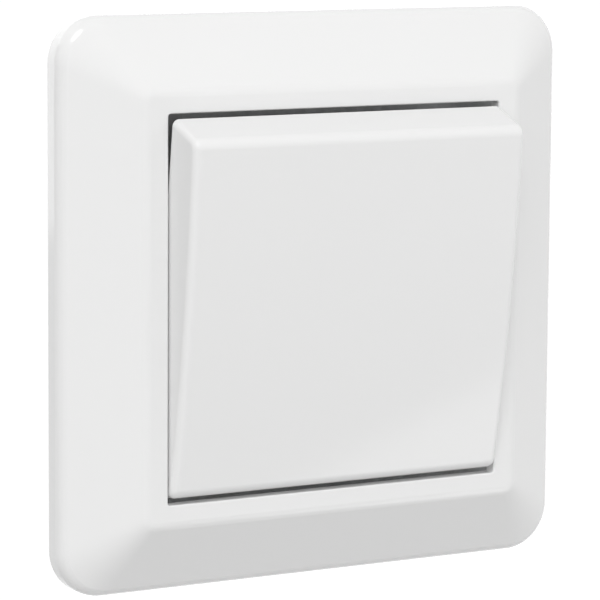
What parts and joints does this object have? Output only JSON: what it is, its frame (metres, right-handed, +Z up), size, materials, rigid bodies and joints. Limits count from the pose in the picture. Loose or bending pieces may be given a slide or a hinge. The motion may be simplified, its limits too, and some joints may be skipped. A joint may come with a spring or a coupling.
{
  "type": "light switch",
  "caption": "Flush wall light switch: square bevelled cover frame, wide convex rocker, and a plate-mounted insert with push-in terminals that the rocker switches over.",
  "frame": {"origin": "centre of the mounting plate's back face, on the wall's surface, midway between the two box screws", "axes": "+Z up, +X to the right seen from the room, +Y into the wall, so the front faces -Y"},
  "size_m": [0.085, 0.041, 0.085],
  "materials": {
    "white_gloss": "glossy white moulded plastic",
    "carrier_plastic": "natural polyamide",
    "housing_plastic": "light grey moulded plastic",
    "button_plastic": "mid grey moulded plastic",
    "zinc_steel": "zinc-plated sheet steel",
    "rivet_steel": "plated steel",
    "spring_steel": "stainless spring steel",
    "brass": "bare brass strip",
    "contact_silver": "silver contact alloy"
  },
  "bodies": {
    "insert": {"cover_frame": "white_gloss", "mounting_plate": "zinc_steel", "rivets": "rivet_steel", "bearing_cover": "housing_plastic", "housing_base": "housing_plastic", "rear_cover": "housing_plastic", "common_terminal": "brass", "upper_terminal": "brass", "lower_terminal": "brass", "fixed_contact_upper": "contact_silver", "fixed_contact_lower": "contact_silver", "clamp_spring_common": "spring_steel", "clamp_spring_upper": "spring_steel", "clamp_spring_lower": "spring_steel"},
    "rocker": {"rocker": "white_gloss", "rocker_cradle": "carrier_plastic", "plunger_spring": "spring_steel"},
    "plunger": {"plunger": "carrier_plastic"},
    "contact_blade": {"contact_blade": "brass", "moving_contact_upper": "contact_silver", "moving_contact_lower": "contact_silver"},
    "release_button_common": {"release_button_common": "button_plastic"},
    "release_button_upper": {"release_button_upper": "button_plastic"},
    "release_button_lower": {"release_button_lower": "button_plastic"}
  },
  "joints": [
    {"name": "rocker_swing", "type": "hinge", "parent": "insert", "child": "rocker", "pos_m": [0, -0.0055, 0], "axis": [1, 0, 0], "range_deg": [-15, 0]},
    {"name": "contact_toggle", "type": "hinge", "parent": "insert", "child": "contact_blade", "pos_m": [0, 0.008, 0], "axis": [1, 0, 0], "range_deg": [0, 14.4]},
    {"name": "plunger_slide", "type": "slide", "parent": "rocker", "child": "plunger", "axis": [0, -0.9914, -0.1305], "range_m": [0, 0.0006], "stiffness_N_per_m": 400, "springref_m": -0.002, "deforming": ["plunger_spring"]},
    {"name": "release_common", "type": "slide", "parent": "insert", "child": "release_button_common", "axis": [0, -1, 0], "range_m": [0, 0.002], "stiffness_N_per_m": 500, "springref_m": -0.002, "deforming": ["clamp_spring_common"]},
    {"name": "release_upper", "type": "slide", "parent": "insert", "child": "release_button_upper", "axis": [0, -1, 0], "range_m": [0, 0.002], "stiffness_N_per_m": 500, "springref_m": -0.002, "deforming": ["clamp_spring_upper"]},
    {"name": "release_lower", "type": "slide", "parent": "insert", "child": "release_button_lower", "axis": [0, -1, 0], "range_m": [0, 0.002], "stiffness_N_per_m": 500, "springref_m": -0.002, "deforming": ["clamp_spring_lower"]}
  ],
  "couplings": [
    {"joint": "contact_toggle", "follows": "rocker_swing", "ratio": -0.96}
  ]
}
